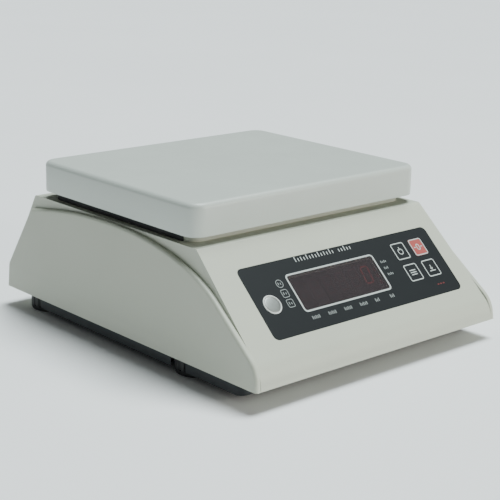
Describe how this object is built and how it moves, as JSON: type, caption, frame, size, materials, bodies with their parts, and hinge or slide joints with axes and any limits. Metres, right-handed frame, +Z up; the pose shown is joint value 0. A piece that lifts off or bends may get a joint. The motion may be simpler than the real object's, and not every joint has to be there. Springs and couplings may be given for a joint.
{
  "type": "counting scale",
  "caption": "Bench counting scale: wedge housing between arched side cheeks, lift-off weighing pan, sloping display and key panel, screw-adjusted feet.",
  "frame": {"origin": "on the table, under the middle of the footprint", "axes": "+X to the user's right, +Y towards the back, +Z up; the display slope faces -Y"},
  "size_m": [0.25, 0.305, 0.125],
  "materials": {
    "housing": "ivory-grey ABS, fine matt texture",
    "pan": "light grey ABS, fine matt texture",
    "tray": "blue-black ABS, fine matt texture",
    "panel": "charcoal polycarbonate overlay, satin",
    "window": "smoked lens, polished",
    "key_dark": "charcoal key with a white outline",
    "key_red": "dull red key with a white outline",
    "white_plastic": "white moulding",
    "vial": "silver-grey spirit level vial",
    "rubber": "black rubber",
    "black_plastic": "black nylon",
    "circuit_board": "green solder mask",
    "led_modules": "black display modules with red segments",
    "lamps": "red lamps",
    "ribbon": "grey ribbon cable",
    "battery_case": "dark ABS battery case",
    "zinc_steel": "zinc-plated sheet steel",
    "screws": "zinc-plated screws",
    "brass": "brass inserts",
    "cast_aluminium": "cast aluminium",
    "cell_aluminium": "machined aluminium",
    "lead_wire": "insulated leads",
    "cable_jacket": "grey cable jacket"
  },
  "bodies": {
    "root": {"upper_housing": "housing", "left_cheek": "housing", "right_cheek": "housing", "cheek_screws": "screws", "base_tray": "tray", "housing_gasket": "rubber", "housing_screws": "screws", "panel_overlay": "panel", "display_window": "window", "display_board": "circuit_board", "led_digits": "led_modules", "indicator_leds": "lamps", "key_switches": "black_plastic", "display_board_screws": "screws", "level_ring": "white_plastic", "level_vial": "vial", "main_board": "circuit_board", "board_components": "black_plastic", "board_spacers": "white_plastic", "board_screws": "screws", "ribbon_cable": "ribbon", "battery": "battery_case", "battery_bracket": "zinc_steel", "battery_leads": "lead_wire", "battery_cover": "tray", "battery_cover_screws": "screws", "cell_frame": "cast_aluminium", "cell_frame_screws": "screws", "load_cell": "cell_aluminium", "load_cell_bolts": "screws", "load_cell_cable": "cable_jacket", "overload_stop": "screws", "post_seal": "rubber", "splash_collar": "rubber", "charging_socket": "black_plastic", "foot_inserts": "brass"},
    "carrier": {"carrier_plate": "zinc_steel", "carrier_post": "cell_aluminium", "carrier_bolts": "screws", "pan_pads": "rubber"},
    "pan": {"weighing_pan": "pan"},
    "key_off": {"key_off": "key_dark"},
    "key_on_zero": {"key_on_zero": "key_red"},
    "key_set": {"key_set": "key_dark"},
    "key_tare": {"key_tare": "key_dark"},
    "socket_bung": {"socket_bung": "rubber"},
    "foot_fl": {"foot_fl_sole": "rubber"},
    "foot_fl_screw": {"foot_fl_knob": "black_plastic", "foot_fl_stud": "screws"},
    "foot_fr": {"foot_fr_sole": "rubber"},
    "foot_fr_screw": {"foot_fr_knob": "black_plastic", "foot_fr_stud": "screws"},
    "foot_bl": {"foot_bl_sole": "rubber"},
    "foot_bl_screw": {"foot_bl_knob": "black_plastic", "foot_bl_stud": "screws"},
    "foot_br": {"foot_br_sole": "rubber"},
    "foot_br_screw": {"foot_br_knob": "black_plastic", "foot_br_stud": "screws"}
  },
  "joints": [
    {"name": "carrier_deflection", "type": "slide", "parent": "root", "child": "carrier", "axis": [0, 0, -1], "range_m": [0, 0.0005], "stiffness_N_per_m": 120000, "deforming": ["load_cell"]},
    {"name": "pan_lift_off", "type": "slide", "parent": "carrier", "child": "pan", "axis": [0, 0, 1], "range_m": [0, 0.06]},
    {"name": "key_off_press", "type": "slide", "parent": "root", "child": "key_off", "axis": [0, 0.6807, -0.7325], "range_m": [0, 0.0003], "stiffness_N_per_m": 400},
    {"name": "key_on_zero_press", "type": "slide", "parent": "root", "child": "key_on_zero", "axis": [0, 0.6807, -0.7325], "range_m": [0, 0.0003], "stiffness_N_per_m": 400},
    {"name": "key_set_press", "type": "slide", "parent": "root", "child": "key_set", "axis": [0, 0.6807, -0.7325], "range_m": [0, 0.0003], "stiffness_N_per_m": 400},
    {"name": "key_tare_press", "type": "slide", "parent": "root", "child": "key_tare", "axis": [0, 0.6807, -0.7325], "range_m": [0, 0.0003], "stiffness_N_per_m": 400},
    {"name": "foot_fl_height", "type": "slide", "parent": "root", "child": "foot_fl", "axis": [0, 0, -1], "range_m": [0, 0.006]},
    {"name": "foot_fl_turn", "type": "hinge", "parent": "foot_fl", "child": "foot_fl_screw", "pos_m": [-0.104, -0.065, 0.004], "axis": [0, 0, 1], "range_deg": [0, 1728]},
    {"name": "foot_fr_height", "type": "slide", "parent": "root", "child": "foot_fr", "axis": [0, 0, -1], "range_m": [0, 0.006]},
    {"name": "foot_fr_turn", "type": "hinge", "parent": "foot_fr", "child": "foot_fr_screw", "pos_m": [0.104, -0.065, 0.004], "axis": [0, 0, 1], "range_deg": [0, 1728]},
    {"name": "foot_bl_height", "type": "slide", "parent": "root", "child": "foot_bl", "axis": [0, 0, -1], "range_m": [0, 0.006]},
    {"name": "foot_bl_turn", "type": "hinge", "parent": "foot_bl", "child": "foot_bl_screw", "pos_m": [-0.104, 0.1215, 0.004], "axis": [0, 0, 1], "range_deg": [0, 1728]},
    {"name": "foot_br_height", "type": "slide", "parent": "root", "child": "foot_br", "axis": [0, 0, -1], "range_m": [0, 0.006]},
    {"name": "foot_br_turn", "type": "hinge", "parent": "foot_br", "child": "foot_br_screw", "pos_m": [0.104, 0.1215, 0.004], "axis": [0, 0, 1], "range_deg": [0, 1728]},
    {"name": "socket_bung_hinge", "type": "hinge", "parent": "root", "child": "socket_bung", "pos_m": [0.0645, 0.148, 0.0245], "axis": [0, 0, 1], "range_deg": [0, 90], "stiffness_Nm_per_rad": 0.002}
  ],
  "couplings": [
    {"joint": "foot_fl_height", "follows": "foot_fl_turn", "m_per_rad": 0.00019894},
    {"joint": "foot_fr_height", "follows": "foot_fr_turn", "m_per_rad": 0.00019894},
    {"joint": "foot_bl_height", "follows": "foot_bl_turn", "m_per_rad": 0.00019894},
    {"joint": "foot_br_height", "follows": "foot_br_turn", "m_per_rad": 0.00019894}
  ]
}
